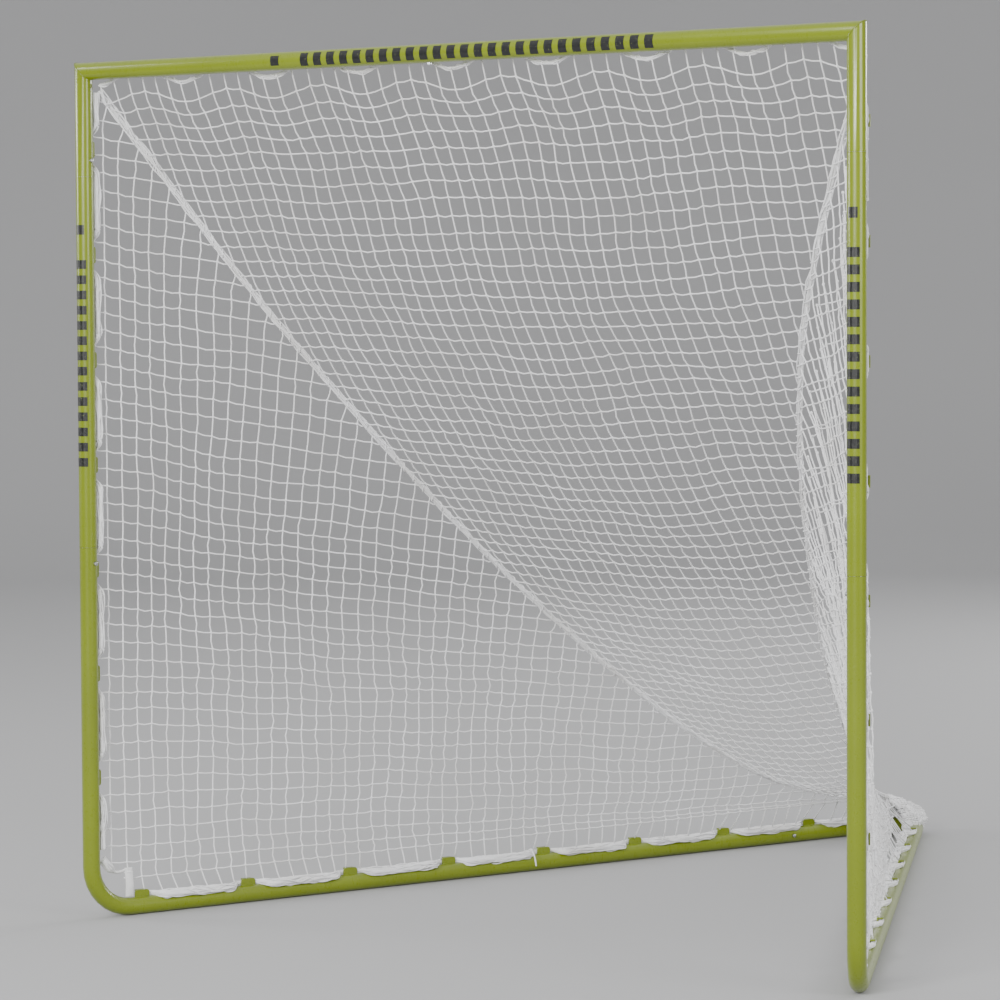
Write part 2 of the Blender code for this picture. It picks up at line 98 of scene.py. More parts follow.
# the same hook spacing and net seat as the frame
HOOK_LENGTH = 0.036
HOOK_T = 0.0035
POST_HOOK_PITCH = 0.2286
POST_HOOK_TOP = 1.680
BASE_HOOK_PITCH = 0.272
BASE_HOOK_FIRST = 0.125
BASE_HOOK_LAST = 2.301
BAR_HOOK_PITCH = 0.2286
SEAT_OUT = TUBE_R + 0.0054      # rope's centre from the tube's, out of the tube
SEAT_SIDE = 0.00715             # and towards the hook's lip

# where the slack seam ropes hang: half width, distance back, height
SEAM_SAG = [(0.620, 0.372, 1.235), (0.365, 0.936, 0.653), (0.164, 1.552, 0.224)]
PEAK_BACK = 2.0586              # where the ropes meet over the apex
PEAK_HEIGHT = 0.085
ROPE_DROP = 0.012               # a rope is tied this far below what holds it

# ---- net --------------------------------------------------------------------
MESH = 0.038                    # side of one square
CORD_R = 0.0016
CORD_SIDES = 5
KNOT = (0.0038, 0.0031, 0.0031)
EDGE_MARGIN = 0.3               # no knot closer to an edge than this share of a square
SIDES = ("left", "right")


def sign(side):
    return -1 if side == "left" else 1


def clamp(value):
    return min(max(value, 0.0), 1.0)


def ease(value):
    """A smooth step from 0 to 1."""
    x = clamp(value)
    return x * x * (3 - 2 * x)


def at(x, y, z):
    """A point whose y is measured back from the goal line."""
    return Vector((x, y + LINE_Y, z))


def side_point(side, x, y, z):
    return at(sign(side) * x, y, z)


REAR_SLEEVE = centre("sleeve_rear_right")
BAR_DIRECTION = (REAR_SLEEVE - at(POST_X, 0, BASE_Z)).normalized()


def bar_direction(side):
    return Vector((-BAR_DIRECTION.x if side == "left" else BAR_DIRECTION.x, BAR_DIRECTION.y, 0))


def bar_point(side, distance):
    return side_point(side, POST_X, 0, BASE_Z) + bar_direction(side) * distance


def outward(side):
    away = bar_direction(side).cross(UP)
    return -away if side == "left" else away


def post_rope(side, z):
    return side_point(side, POST_X + SEAT_SIDE, SEAT_OUT, z)


def base_rope(side, distance):
    return bar_point(side, distance) + outward(side) * SEAT_SIDE + UP * SEAT_OUT


def crossbar_rope(x):
    return at(x, SEAT_OUT, BAR_Z + SEAT_SIDE)


def smooth_line(points, shares):
    """Points at shares of the way along a smooth curve through the points."""
    points = [np.array(p, float) for p in points]
    spans = len(points) - 1
    line = []
    for share in shares:
        i = min(int(share * spans), spans - 1)
        u = share * spans - i
        b, c = points[i], points[i + 1]
        a = points[i - 1] if i else b * 2 - c
        d = points[i + 2] if i + 2 <= spans else c * 2 - b
        line.append(0.5 * (2 * b + (c - a) * u + (2 * a - 5 * b + 4 * c - d) * u ** 2
                           + (3 * b - a - 3 * c + d) * u ** 3))
    return np.array(line)


def seam_line(side, shares):
    """The rope between the back panel and a side panel, top corner to apex."""
    route = [post_rope(side, BAR_Z - ROPE_DROP)]
    route += [side_point(side, *point) for point in SEAM_SAG]
    route.append(at(0, PEAK_BACK, PEAK_HEIGHT))
    return smooth_line(route, shares)


# ---- mesh helpers -------------------------------------------------------------
GOLDEN = (1 + 5 ** 0.5) / 2
ICO_VERTS = [(x, y, 0) for y in (-1, 1) for x in (-GOLDEN, GOLDEN)]
ICO_VERTS = np.array(ICO_VERTS + [(y, 0, x) for x, y, _ in ICO_VERTS]
                     + [(0, x, y) for x, y, _ in ICO_VERTS], float)
ICO_VERTS /= np.linalg.norm(ICO_VERTS[0])


def hull_faces(points):
    work = bmesh.new()
    verts = [work.verts.new(p) for p in points]
    work.verts.index_update()
    bmesh.ops.convex_hull(work, input=verts)
    faces = [[v.index for v in face.verts] for face in work.faces]
    work.free()
    return faces


ICO_FACES = hull_faces(ICO_VERTS)


class Strands:
    """Collects swept cords and knots, then makes them one mesh."""

    def __init__(self):
        self.verts = []
        self.faces = []
        self.count = 0

    def add(self, verts, faces):
        self.verts.append(np.asarray(verts, float))
        self.faces += [[i + self.count for i in face] for face in faces]
        self.count += len(verts)

    def cord(self, line, radius, sides=CORD_SIDES, lobes=0, pitch=0.03):
        """A round cord, or a laid rope when it has lobes that turn once a pitch."""
        line = np.asarray(line, float)
        ahead = np.gradient(line, axis=0)
        ahead /= np.linalg.norm(ahead, axis=1)[:, None] + 1e-12
        run = np.concatenate([[0], np.cumsum(np.linalg.norm(np.diff(line, axis=0), axis=1))])
        radius = np.broadcast_to(np.asarray(radius, float), (len(line),))
        start = np.array((0.0, 0, 1)) if abs(ahead[0][2]) < 0.9 else np.array((1.0, 0, 0))
        normal = np.cross(ahead[0], start)
        angles = 2 * math.pi * np.arange(sides) / sides
        rings = []
        for i, direction in enumerate(ahead):
            normal = normal - direction * normal.dot(direction)
            normal /= np.linalg.norm(normal) + 1e-12
            across = np.cross(direction, normal)
            reach = np.full(sides, radius[i])
            if lobes:
                turn = 2 * math.pi * run[i] / pitch
                reach = radius[i] * (0.86 + 0.14 * np.cos(lobes * (angles - turn / lobes)))
            rings.append(line[i] + reach[:, None] * (np.cos(angles)[:, None] * normal
                                                     + np.sin(angles)[:, None] * across))
        faces = []
        for i in range(len(line) - 1):
            for k in range(sides):
                j = (k + 1) % sides
                faces.append((i * sides + k, i * sides + j, (i + 1) * sides + j,
                              (i + 1) * sides + k))
        last = (len(line) - 1) * sides
        faces.append(tuple(range(sides))[::-1])
        faces.append(tuple(range(last, last + sides)))
        self.add(np.concatenate(rings), faces)

    def knot(self, place, along, rng, size=KNOT):
        """A small tight knot, longest along the cord."""
        turn = Vector(along).to_track_quat("X", "Z") @ Matrix.Rotation(
            rng.uniform(0, 6.3), 3, "X").to_quaternion()
        matrix = np.array(turn.to_matrix())
        swell = np.array([rng.uniform(0.85, 1.15) for _ in range(len(ICO_VERTS))])
        points = ICO_VERTS * swell[:, None] * np.array(size)
        self.add(points @ matrix.T + np.asarray(place), ICO_FACES)

    def build(self, name, look, slot, body="goal", replaced=()):
        mesh = bpy.data.meshes.new(name)
        mesh.from_pydata(np.concatenate(self.verts).tolist(), [], self.faces)
        mesh.validate()
        mesh.shade_smooth()
        return add_piece(name, mesh, look, body, replaced)


def add_piece(name, mesh, look, body="goal", replaced=()):
    piece = bpy.data.objects.new(name, mesh)
    bpy.context.scene.collection.objects.link(piece)
    mesh.materials.append(look)
    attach(piece, body)
    if replaced:
        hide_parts(*replaced)
    return piece


# ---- materials ------------------------------------------------------------------
def new_material(name):
    made = bpy.data.materials.new(name)
    made.use_nodes = True
    tree = made.node_tree
    return made, tree, tree.nodes["Principled BSDF"]


def texture(tree, kind, scale, stretch=(1, 1, 1), **settings):
    """A procedural texture in object space; its node is returned."""
    place = tree.nodes.new("ShaderNodeTexCoord")
    mapping = tree.nodes.new("ShaderNodeMapping")
    mapping.inputs["Scale"].default_value = stretch
    node = tree.nodes.new(kind)
    node.inputs["Scale"].default_value = scale
    for key, value in settings.items():
        node.inputs[key].default_value = value
    tree.links.new(place.outputs["Object"], mapping.inputs["Vector"])
    tree.links.new(mapping.outputs["Vector"], node.inputs["Vector"])
    return node


def ramp(tree, source, stops):
    """Colours or values read off a source between 0 and 1."""
    node = tree.nodes.new("ShaderNodeValToRGB")
    node.color_ramp.elements[0].position = stops[0][0]
    node.color_ramp.elements[0].color = stops[0][1]
    node.color_ramp.elements[1].position = stops[-1][0]
    node.color_ramp.elements[1].color = stops[-1][1]
    for position, color in stops[1:-1]:
        node.color_ramp.elements.new(position).color = color
    tree.links.new(source, node.inputs["Fac"])
    return node.outputs["Color"]


def grey(value):
    return (value, value, value, 1)


def mixed(tree, blend, share, first, second):
    node = tree.nodes.new("ShaderNodeMixRGB")
    node.blend_type = blend
    node.inputs["Fac"].default_value = share
    tree.links.new(first, node.inputs["Color1"])
    tree.links.new(second, node.inputs["Color2"])
    return node.outputs["Color"]


def bumped(tree, shader, height, distance, strength=1.0):
    bump = tree.nodes.new("ShaderNodeBump")
    bump.inputs["Distance"].default_value = distance
    bump.inputs["Strength"].default_value = strength
    tree.links.new(height, bump.inputs["Height"])
    tree.links.new(bump.outputs["Normal"], shader.inputs["Normal"])


def paint_material(name, base=(0.168, 0.218, 0.0010)):
    """Glossy powder coat: slight mottling, orange peel, dust and fine scuffs."""
    made, tree, shader = new_material(name)
    shader.inputs["Coat Weight"].default_value = 0.35
    shader.inputs["Coat Roughness"].default_value = 0.17
    light, dark = [(*[c * k for c in base], 1) for k in (1.05, 0.93)]
    cloud = texture(tree, "ShaderNodeTexNoise", 5, Detail=3)
    body = ramp(tree, cloud.outputs["Fac"], [(0.3, dark), (0.7, light)])
    scuff = texture(tree, "ShaderNodeTexNoise", 90, (1, 1, 0.6), Detail=8, Roughness=0.75)
    specks = ramp(tree, scuff.outputs["Fac"], [(0.27, (0.30, 0.33, 0.20, 1)),
                                               (0.31, (1, 1, 1, 1)), (1.0, (1, 1, 1, 1))])
    color = mixed(tree, "MULTIPLY", 0.5, body, specks)
    tree.links.new(color, shader.inputs["Base Color"])
    gloss = ramp(tree, scuff.outputs["Fac"], [(0.28, grey(0.50)), (0.4, grey(0.27)),
                                              (0.75, grey(0.33))])
    tree.links.new(gloss, shader.inputs["Roughness"])
    peel = texture(tree, "ShaderNodeTexNoise", 420, Detail=2)
    bumped(tree, shader, peel.outputs["Fac"], 0.00008, 0.4)
    return made


def metal_material(name, base, rough, stretch):
    """Plated or bare steel with drawn lines and a few dull spots."""
    made, tree, shader = new_material(name)
    shader.inputs["Metallic"].default_value = 1.0
    lines = texture(tree, "ShaderNodeTexNoise", 700, stretch, Detail=4)
    spots = texture(tree, "ShaderNodeTexNoise", 60, Detail=5)
    bright, dull = [(*[c * k for c in base], 1) for k in (1.1, 0.72)]
    tree.links.new(ramp(tree, spots.outputs["Fac"], [(0.35, dull), (0.6, bright)]),
                   shader.inputs["Base Color"])
    tree.links.new(ramp(tree, lines.outputs["Fac"], [(0.3, grey(rough - 0.08)),
                                                     (0.7, grey(rough + 0.14))]),
                   shader.inputs["Roughness"])
    bumped(tree, shader, lines.outputs["Fac"], 0.00004, 0.5)
    return made


def cord_material(name, base, twist_scale, depth):
    """Twisted or woven white yarn: strand lines with painted shade darkening their grooves,
    soft fuzz and light soiling.
    """
    made, tree, shader = new_material(name)
    shader.inputs["Sheen Weight"].default_value = 0.25
    shader.inputs["Sheen Roughness"].default_value = 0.5
    soil = texture(tree, "ShaderNodeTexNoise", 7, Detail=5)
    clean, worn = (*base, 1), (base[0] * 0.88, base[1] * 0.87, base[2] * 0.85, 1)
    tone = ramp(tree, soil.outputs["Fac"], [(0.32, worn), (0.6, clean)])
    strands = texture(tree, "ShaderNodeTexWave", twist_scale, Distortion=1.5)
    fuzz = texture(tree, "ShaderNodeTexNoise", 1400, Detail=3)
    # painted shade: the colour is darker in the grooves between strands, exactly where the bump
    # sinks
    lines = ramp(tree, strands.outputs["Fac"], [(0.0, grey(0.70)), (0.6, grey(1.0))])
    tree.links.new(mixed(tree, "MULTIPLY", 0.5, tone, lines), shader.inputs["Base Color"])
    tree.links.new(ramp(tree, fuzz.outputs["Fac"], [(0.3, grey(0.78)), (0.7, grey(0.95))]),
                   shader.inputs["Roughness"])
    height = mixed(tree, "ADD", 0.4, strands.outputs["Color"], fuzz.outputs["Color"])
    bumped(tree, shader, height, depth, 0.8)
    return made


def mark_material():
    """Black ink printed on the paint, a little worn."""
    made, tree, shader = new_material("mark_ink")
    wear = texture(tree, "ShaderNodeTexNoise", 240, Detail=6)
    tree.links.new(ramp(tree, wear.outputs["Fac"], [(0.28, (0.10, 0.12, 0.02, 1)),
                                                    (0.36, (0.006, 0.007, 0.006, 1))]),
                   shader.inputs["Base Color"])
    tree.links.new(ramp(tree, wear.outputs["Fac"], [(0.3, grey(0.5)), (0.6, grey(0.3))]),
                   shader.inputs["Roughness"])
    shader.inputs["Coat Weight"].default_value = 0.3
    return made


PAINT = paint_material("powder_coat")
WELD = paint_material("coated_weld", (0.150, 0.196, 0.0010))
PLATED = metal_material("zinc_plate", (0.55, 0.56, 0.57), 0.34, (1, 1, 0.1))
SPRUNG = metal_material("spring_steel_bare", (0.36, 0.37, 0.39), 0.30, (0.1, 1, 1))
CORD = cord_material("net_cord", (0.90, 0.90, 0.91), 420, 0.0002)
ROPE = cord_material("laid_rope", (0.84, 0.84, 0.84), 260, 0.0005)
WEBBING = cord_material("woven_webbing", (0.84, 0.84, 0.84), 340, 0.0004)
INK = mark_material()

# ---- the frame's own parts -----------------------------------------------------------
CREASE = math.radians(38)       # edges sharper than this stay crisp
SAME_PLACE = 0.00001            # points closer than this are one


def smooth_skin(node):
    """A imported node's shape as one joined mesh, shaded smooth where it is round."""
    work = bmesh.new()
    work.from_mesh(node.data)
    bmesh.ops.remove_doubles(work, verts=work.verts, dist=SAME_PLACE)
    places = [v.co[:] for v in work.verts]
    faces = [[v.index for v in face.verts] for face in work.faces]
    work.free()
    mesh = bpy.data.meshes.new(node.name + "_skin")
    mesh.from_pydata(places, [], faces)
    mesh.shade_smooth()
    mesh.set_sharp_from_angle(angle=CREASE)
    return mesh


def dress_frame():
    """Coat the tubes with smoothly shaded skins, and give the small parts their metal."""
    for name, node in frame["nodes"].items():
        family = name.split("_")[0]
        if family in ("corner", "post", "lower", "apex") and name != "apex_hood":
            add_piece(f"{name}_tube", smooth_skin(node), PAINT, replaced=[name])
        elif family in ("sleeve", "button"):
            node.data.materials.clear()
            node.data.materials.append(PLATED)


def make_springs():
    """Leaf springs for the buttons, each a smoothly shaded copy of its node in bare spring
    steel on a mesh of its own.
    """
    for joint in frame["record"]["behaviour"]["joints"]:
        node = frame["nodes"][joint["deforming_nodes"][0]["node"]]
        mesh = smooth_skin(node)
        leaf = add_piece(f"{node.name}_leaf", mesh, SPRUNG,
                         replaced=[node.name])
        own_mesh(leaf)


# ---- net panels -------------------------------------------------------------------
FINE = np.linspace(0, 1, 401)   # shares along a seam
SLOW_FOLD, SLOW_SIZE = 3.1, 0.013
QUICK_FOLD, QUICK_SIZE = 11.0, 0.0060
CALM_CELLS = 5.0                # folds grow to full size this many squares from an edge
SEED_SPREAD = 3.7               # sets one panel's folds apart from another's
BOW_SHARE = 0.12                # of the slack in a square's cord, what shows as a bow
BOW_LIMIT = 0.0024


def along(line):
    """Distance run along a line of points."""
    return np.concatenate([[0], np.cumsum(np.linalg.norm(np.diff(line, axis=0), axis=1))])


def point_at(line, share):
    """The point a share of the way along a finely divided line."""
    i = clamp(share) * (len(line) - 1)
    low = int(min(i, len(line) - 2))
    return line[low] + (line[low + 1] - line[low]) * (i - low)


def crumple(point, calm, seed):
    """Small folds of the slack net; calm is 0 at an edge and 1 well inside."""
    p = Vector(point)
    shift = Vector((seed, -seed, 2 * seed))
    slow = noise.noise_vector(p * SLOW_FOLD + shift)
    quick = noise.noise_vector(p * QUICK_FOLD + shift)
    return np.array(p + (slow * SLOW_SIZE + quick * QUICK_SIZE) * calm)


class Panel:
    """Knots on a square mesh, with the chains of cord that run through them."""

    def __init__(self, seed):
        self.rng = random.Random(seed)
        self.seed = seed
        self.knots = {}
        self.chains = []

    def put(self, key, point, cells):
        self.knots[key] = crumple(point, ease(cells / CALM_CELLS), self.seed * SEED_SPREAD)
        return self.knots[key]

    def draw(self, strands):
        for chain in self.chains:
            if len(chain) > 1:
                strands.cord(self.slack_line(chain), CORD_R)
        for (j, k), point in self.knots.items():
            beside = self.knots.get((j, k + 1), self.knots.get((j, k - 1), point + 1))
            strands.knot(point, beside - point, self.rng)

    def slack_line(self, chain):
        """The chain's points with a bow in each length of cord that has slack."""
        line = [np.asarray(chain[0])]
        for first, second in zip(chain, chain[1:]):
            first, second = np.asarray(first), np.asarray(second)
            gap = second - first
            length = np.linalg.norm(gap)
            spare = math.sqrt(max(MESH ** 2 - length ** 2, 0.0)) * BOW_SHARE
            bow = min(spare, BOW_LIMIT) if length > MESH * 0.5 else 0.0
            bow += self.rng.uniform(0.0002, 0.0014)
            down = np.array((self.rng.uniform(-0.5, 0.5), self.rng.uniform(-0.5, 0.5), -1.0))
            down -= gap * down.dot(gap) / max(length ** 2, 1e-9)
            down /= np.linalg.norm(down) + 1e-9
            line.append((first + second) / 2 + down * bow)
            line.append(second)
        return np.array(line)


BACK_TOP_GATHER = 0.955         # how closely the back panel's columns stand at the top
BACK_LOW_GATHER = 0.60          # and at the apex
BACK_ROW_GATHER = 0.985
BACK_END = 0.975
BACK_SAG = 0.030
TOP_SAG = 0.037


def top_sag(x):
    """Drop of the net's top edge between two hooks."""
    return TOP_SAG * math.sin(math.pi * (abs(x) / BAR_HOOK_PITCH + 0.5)) ** 2


def make_back_net():
    """The panel from the crossbar to the apex: rows across, columns down."""
    left, right = seam_line("left", FINE), seam_line("right", FINE)
    run = along((left + right) / 2) / BACK_ROW_GATHER
    gather = BACK_TOP_GATHER + (BACK_LOW_GATHER - BACK_TOP_GATHER) * FINE ** 1.6
    half = (right[:, 0] - left[:, 0]) / 2 / gather
    panel = Panel(1)

    def spot(share, across):
        """Across runs from -1 at the left seam to 1 at the right one."""
        a, b = point_at(left, share), point_at(right, share)
        point = a + (b - a) * (across + 1) / 2
        point[2] -= BACK_SAG * (1 - across ** 2) * math.sin(math.pi * min(share, 1)) ** 0.7
        return point

    columns = int(half[0] / MESH)
    lists = {k: [] for k in range(-columns, columns + 1)}
    for j in range(int(np.interp(BACK_END, FINE, run) / MESH) + 1):
        share = float(np.interp(j * MESH, run, FINE))
        width = float(np.interp(share, FINE, half))
        chain = [spot(share, -1)]
        for k in range(-columns, columns + 1):
            if abs(k * MESH) > width - EDGE_MARGIN * MESH:
                continue
            point = spot(share, k * MESH / width)
            if j == 0:
                point = np.array(crossbar_rope(point[0]))
            point[2] -= top_sag(point[0]) * math.exp(-j / 2.6)
            chain.append(panel.put((j, k), point, min(j, (width - abs(k * MESH)) / MESH)))
            lists[k].append(panel.knots[j, k])
        chain.append(spot(share, 1))
        if j:
            panel.chains.append(chain)
    for k, column in lists.items():
        if abs(k * MESH) > half[-12]:
            share = float(np.interp(-abs(k * MESH), -half[:-8], FINE[:-8]))
            column.append(spot(share, math.copysign(1, k)))
        panel.chains.append(column)
    strands = Strands()
    panel.draw(strands)
    strands.build("back_net", CORD, "cord", replaced=["net_back"])


SIDE_TOP_GATHER = 0.93          # how closely the side panel's columns stand at the top
SIDE_LOW_GATHER = 0.985
ROW_DROOP = 0.17                # fall of the upper rows towards the seam
CUT_COLUMNS = 2                 # the net's front bottom corner is cut away
CUT_ROWS = 2
SIDE_FLOOR = SEAT_OUT - 0.002   # net's bottom row above the base bar's centre
SIDE_SWELL = 0.022
HOOD_SHARE = 0.965
FOLDED_SIDE = "right"           # its panel is slacker, and lies double
FOLD_FROM = 0.14                # behind this share of a row
FOLD_PROUD = 0.010


def base_edge(side, distance):
    """The net's bottom edge: in the hooks' seats, and slack inside the bar between them."""
    free = 1 - hook_nearness(distance, base_hooks())
    return base_rope(side, distance) - (outward(side) * 0.023 + UP * 0.003) * free


def make_side_net(side):
    """The panel between a post, a base bar and a seam rope."""
    seam = seam_line(side, FINE)
    rear = np.array(at(0, PEAK_BACK, PEAK_HEIGHT - ROPE_DROP))
    panel = Panel(2 if side == "left" else 3)

    def post_edge(z):
        return np.array(post_rope(side, z))

    rows = []
    for k in range(int((BAR_Z - BASE_Z - SIDE_FLOOR) / MESH)):
        start = post_edge(BASE_Z + SIDE_FLOOR + k * MESH)
        reach = np.linalg.norm((seam - start)[:, :2], axis=1)
        droop = ROW_DROOP * min(k * MESH / 0.9, 1.0)
        over = np.nonzero(seam[:, 2] <= start[2] - droop * reach)[0]
        share = FINE[over[0]] if k and len(over) else HOOD_SHARE
        share = min(share, HOOD_SHARE)
        end = point_at(seam, share) if k else rear
        level = k * MESH / BAR_Z
        gather = SIDE_LOW_GATHER + (SIDE_TOP_GATHER - SIDE_LOW_GATHER) * level
        rows.append((start, end, share, np.linalg.norm(end - start) / gather / MESH))

    def spot(k, j):
        start, end, share, count = rows[k]
        part = min(j / count, 1.0)
        point = start + (end - start) * part
        swell = SIDE_SWELL * math.sin(math.pi * part) * math.sin(math.pi * k / len(rows))
        point[0] += sign(side) * swell
        return point

    columns = {}
    gather = SIDE_LOW_GATHER
    for k, (start, end, share, count) in enumerate(rows):
        chain = []
        first = CUT_COLUMNS if k < CUT_ROWS else 0
        for j in range(first, int(count - EDGE_MARGIN) + 1):
            point = spot(k, j) if k else np.array(base_edge(side, j * MESH * gather + SEAT_OUT))
            if k and j:
                point = panel.put((j, k), point, min(j, k, count - j))
            chain.append(point)
            columns.setdefault(j, []).append((k, point))
        if k:
            panel.chains.append(chain + [end])
    for j, column in columns.items():
        k, point = column[-1]
        chain = [point for _, point in column]
        if k + 1 < len(rows) and k:
            here, above = rows[k][3], rows[k + 1][3]
            part = (here - j) / max(here - above, 1e-6)
            share = rows[k][2] + (rows[k + 1][2] - rows[k][2]) * clamp(part)
            chain.append(point_at(seam, share))
        if j:
            panel.chains.append(chain)
    strands = Strands()
    panel.draw(strands)
    strands.build(f"{side}_net", CORD, "cord", replaced=[f"net_{side}"])
    if side == FOLDED_SIDE:
        fold_side_net(side, rows, spot)


def fold_side_net(side, rows, spot):
    """The slack of a side panel, folded over on its outside."""
    fold = Panel(6)
    out = np.array(outward(side))
    columns = {}
    for k in range(1, len(rows) - 1):
        count = rows[k + 1][3]
        chain = []
        for j in range(int(count * FOLD_FROM) + 1, int(count - EDGE_MARGIN)):
            point = (spot(k, j + 0.5) + spot(k + 1, j + 0.5)) / 2
            ripple = math.sin(j * 1.3 + 0.6 * math.sin(k * 0.5))
            point += out * FOLD_PROUD * (0.6 + 0.9 * ripple)
            chain.append(fold.put((j, k), point, min(j - count * FOLD_FROM, k, count - j)))
            columns.setdefault(j, []).append(fold.knots[j, k])
        if len(chain) > 1 and k % 2:
            fold.chains.append(chain)
    for column in columns.values():
        fold.chains.append(column)
    strands = Strands()
    fold.draw(strands)
    strands.build(f"{side}_net_fold", CORD, "cord")


# ---- ropes and gathered borders -----------------------------------------------------
SEAM_R = 0.0046
EDGE_R = 0.0036


def helix(line, radius, pitch, steps):
    """A lashing wound round a line."""
    line = np.asarray(line, float)
    run = along(line)
    count = max(int(run[-1] / pitch * steps), 4)
    stations = np.linspace(0, run[-1], count)
    path = np.array([[np.interp(s, run, line[:, a]) for a in range(3)] for s in stations])
    ahead = np.gradient(path, axis=0)
    ahead /= np.linalg.norm(ahead, axis=1)[:, None]
    side = np.cross(ahead, (0.13, 0.07, 1.0))
    side /= np.linalg.norm(side, axis=1)[:, None]
    other = np.cross(ahead, side)
    turn = (2 * math.pi * stations / pitch)[:, None]
    return path + radius * (np.cos(turn) * side + np.sin(turn) * other)


def bundle(strands, line, radius, count, seed, squeeze=None, folds=0):
    """Gathered net along an edge: fat folds and many cords that wander round a line."""
    line = np.asarray(line, float)
    run = along(line)
    ahead = np.gradient(line, axis=0)
    ahead /= np.linalg.norm(ahead, axis=1)[:, None]
    side = np.cross(ahead, (0.11, 0.05, 1.0))
    side /= np.linalg.norm(side, axis=1)[:, None]
    other = np.cross(ahead, side)
    tight = np.ones(len(line)) if squeeze is None else np.asarray(squeeze)
    for number in range(count + folds):
        fold = number < folds
        start = 2 * math.pi * number / (folds if fold else count)
        drift = np.array([noise.noise(Vector((s * 9, number * 7.3, seed))) for s in run])
        swing = np.array([noise.noise(Vector((s * 23, number * 3.1, seed + 5))) for s in run])
        turn = start + (1.2 if fold else 3.2) * drift
        reach = radius * tight * ((0.42 if fold else 0.80) + 0.5 * swing)
        path = line + reach[:, None] * (np.cos(turn)[:, None] * side
                                        + np.sin(turn)[:, None] * other)
        if fold:
            swell = np.array([noise.noise(Vector((s * 60, number * 5.9, seed + 9)))
                              for s in run])
            strands.cord(path, radius * tight * (0.46 + 0.16 * swell), 9)
        else:
            strands.cord(path, CORD_R, 5)


HOOK_SLIP = 0.004               # the rope stays seated this far past a hook's ends
HOOK_REACH = 0.034              # and is slack this much farther on


def hook_nearness(distance, hooks):
    """1 at a hook, falling to 0 away from it."""
    near = min(abs(distance - hook) for hook in hooks)
    return 1 - ease((near - HOOK_LENGTH / 2 - HOOK_SLIP) / HOOK_REACH)


def post_hooks():
    heights, z = [], POST_HOOK_TOP
    while z > 0.25:
        heights.append(z)
        z -= POST_HOOK_PITCH
    return heights


def base_hooks():
    found, distance = [], BASE_HOOK_FIRST
    while distance < BASE_HOOK_LAST:
        found.append(distance)
        distance += BASE_HOOK_PITCH
    return found


def make_seam(side):
    """Laid seam rope with the two panels' edges lashed to it."""
    line = seam_line(side, np.linspace(0.012, 0.985, 700))
    strands = Strands()
    strands.cord(line, SEAM_R, 9, lobes=3, pitch=0.028)
    strands.build(f"seam_{side}", ROPE, "cord", replaced=[f"seam_rope_{side}"])
    lashing = Strands()
    lashing.cord(helix(line, 0.0062, 0.034, 12), CORD_R * 0.9, 5)
    near_top = 1 + 0.9 * np.exp(-np.linspace(0, 1, 700)[::4] * 7)
    bundle(lashing, line[::4], 0.0056, 6, 11 if side == "left" else 12, near_top)
    lashing.build(f"seam_lashing_{side}", CORD, "cord")


def make_post_border(side):
    hooks = post_hooks()
    heights = np.linspace(BAR_Z - 0.045, 0.150, 420)
    line, tight = [], []
    for z in heights:
        near = hook_nearness(z, hooks)
        free = 1 - near
        line.append(post_rope(side, z) + Vector((-sign(side) * 0.019, 0.002, 0)) * free)
        tight.append(0.50 + 0.50 * free)
    edge_piece("post_" + side, line, tight, f"edge_post_{side}", 9, 2, 1.0)


def make_base_border(side):
    hooks = base_hooks()
    line, tight = [], []
    for distance in np.linspace(0.112, BASE_HOOK_LAST - 0.105, 560):
        line.append(base_edge(side, distance))
        tight.append(1.25 - 0.75 * hook_nearness(distance, hooks))
    edge_piece("base_" + side, line, tight, f"edge_base_{side}", 16, 4, 1.0)


def make_crossbar_border():
    hooks = [(i + 0.5) * BAR_HOOK_PITCH for i in range(-4, 4)]
    line, tight = [], []
    for x in np.linspace(-POST_X + 0.022, POST_X - 0.022, 440):
        free = 1 - hook_nearness(x, hooks)
        line.append(crossbar_rope(x) + Vector((0, 0.004, -top_sag(x))) * free)
        tight.append(0.55 + 0.45 * free)
    edge_piece("crossbar", line, tight, "edge_crossbar", 3, 0, 0.5)


def edge_piece(label, line, tight, node, count, folds, spread):
    strands = Strands()
    strands.cord(line, EDGE_R, 8, lobes=3, pitch=0.024)
    strands.build(f"rope_{label}", ROPE, "cord", replaced=[node])
    border = Strands()
    seed = 20 + len(label)
    bundle(border, line, 0.0080 * spread, count, seed, tight, folds)
    border.cord(helix(line, 0.0046, 0.046, 11), CORD_R, 5)
    border.build(f"border_{label}", CORD, "cord")


# a strap's outline with softened corners, in halves of its width and thickness
STRAP_OUTLINE = ((-1, -0.4), (-0.92, -1), (0.92, -1), (1, -0.4), (1, 0.4), (0.92, 1),
                 (-0.92, 1), (-1, 0.4))


def ribbon(line, across, width, thickness):
    """A strap of even width along a line; across gives its flat direction."""
    work = bmesh.new()
    rings = []
    line = [Vector(p) for p in line]
    for i, point in enumerate(line):
        ahead = (line[min(i + 1, len(line) - 1)] - line[max(i - 1, 0)]).normalized()
        flat = Vector(across[i])
        flat = (flat - ahead * flat.dot(ahead)).normalized()
        normal = ahead.cross(flat)
        rings.append([work.verts.new(point + flat * a * width / 2 + normal * b * thickness / 2)
                      for a, b in STRAP_OUTLINE])
    for first, second in zip(rings, rings[1:]):
        for i in range(len(first)):
            j = (i + 1) % len(first)
            work.faces.new((first[i], first[j], second[j], second[i]))
    work.faces.new(rings[0][::-1])
    work.faces.new(rings[-1])
    bmesh.ops.recalc_face_normals(work, faces=work.faces)
    mesh = bpy.data.meshes.new("strap")
    work.to_mesh(mesh)
    work.free()
    mesh.shade_smooth()
    return mesh


ROLL_HEIGHT = 0.126             # of the net's rolled corner where it leaves the post
TAB_HEIGHT = 0.082
TAB_WIDTH = 0.019
TAB_THICKNESS = 0.0030


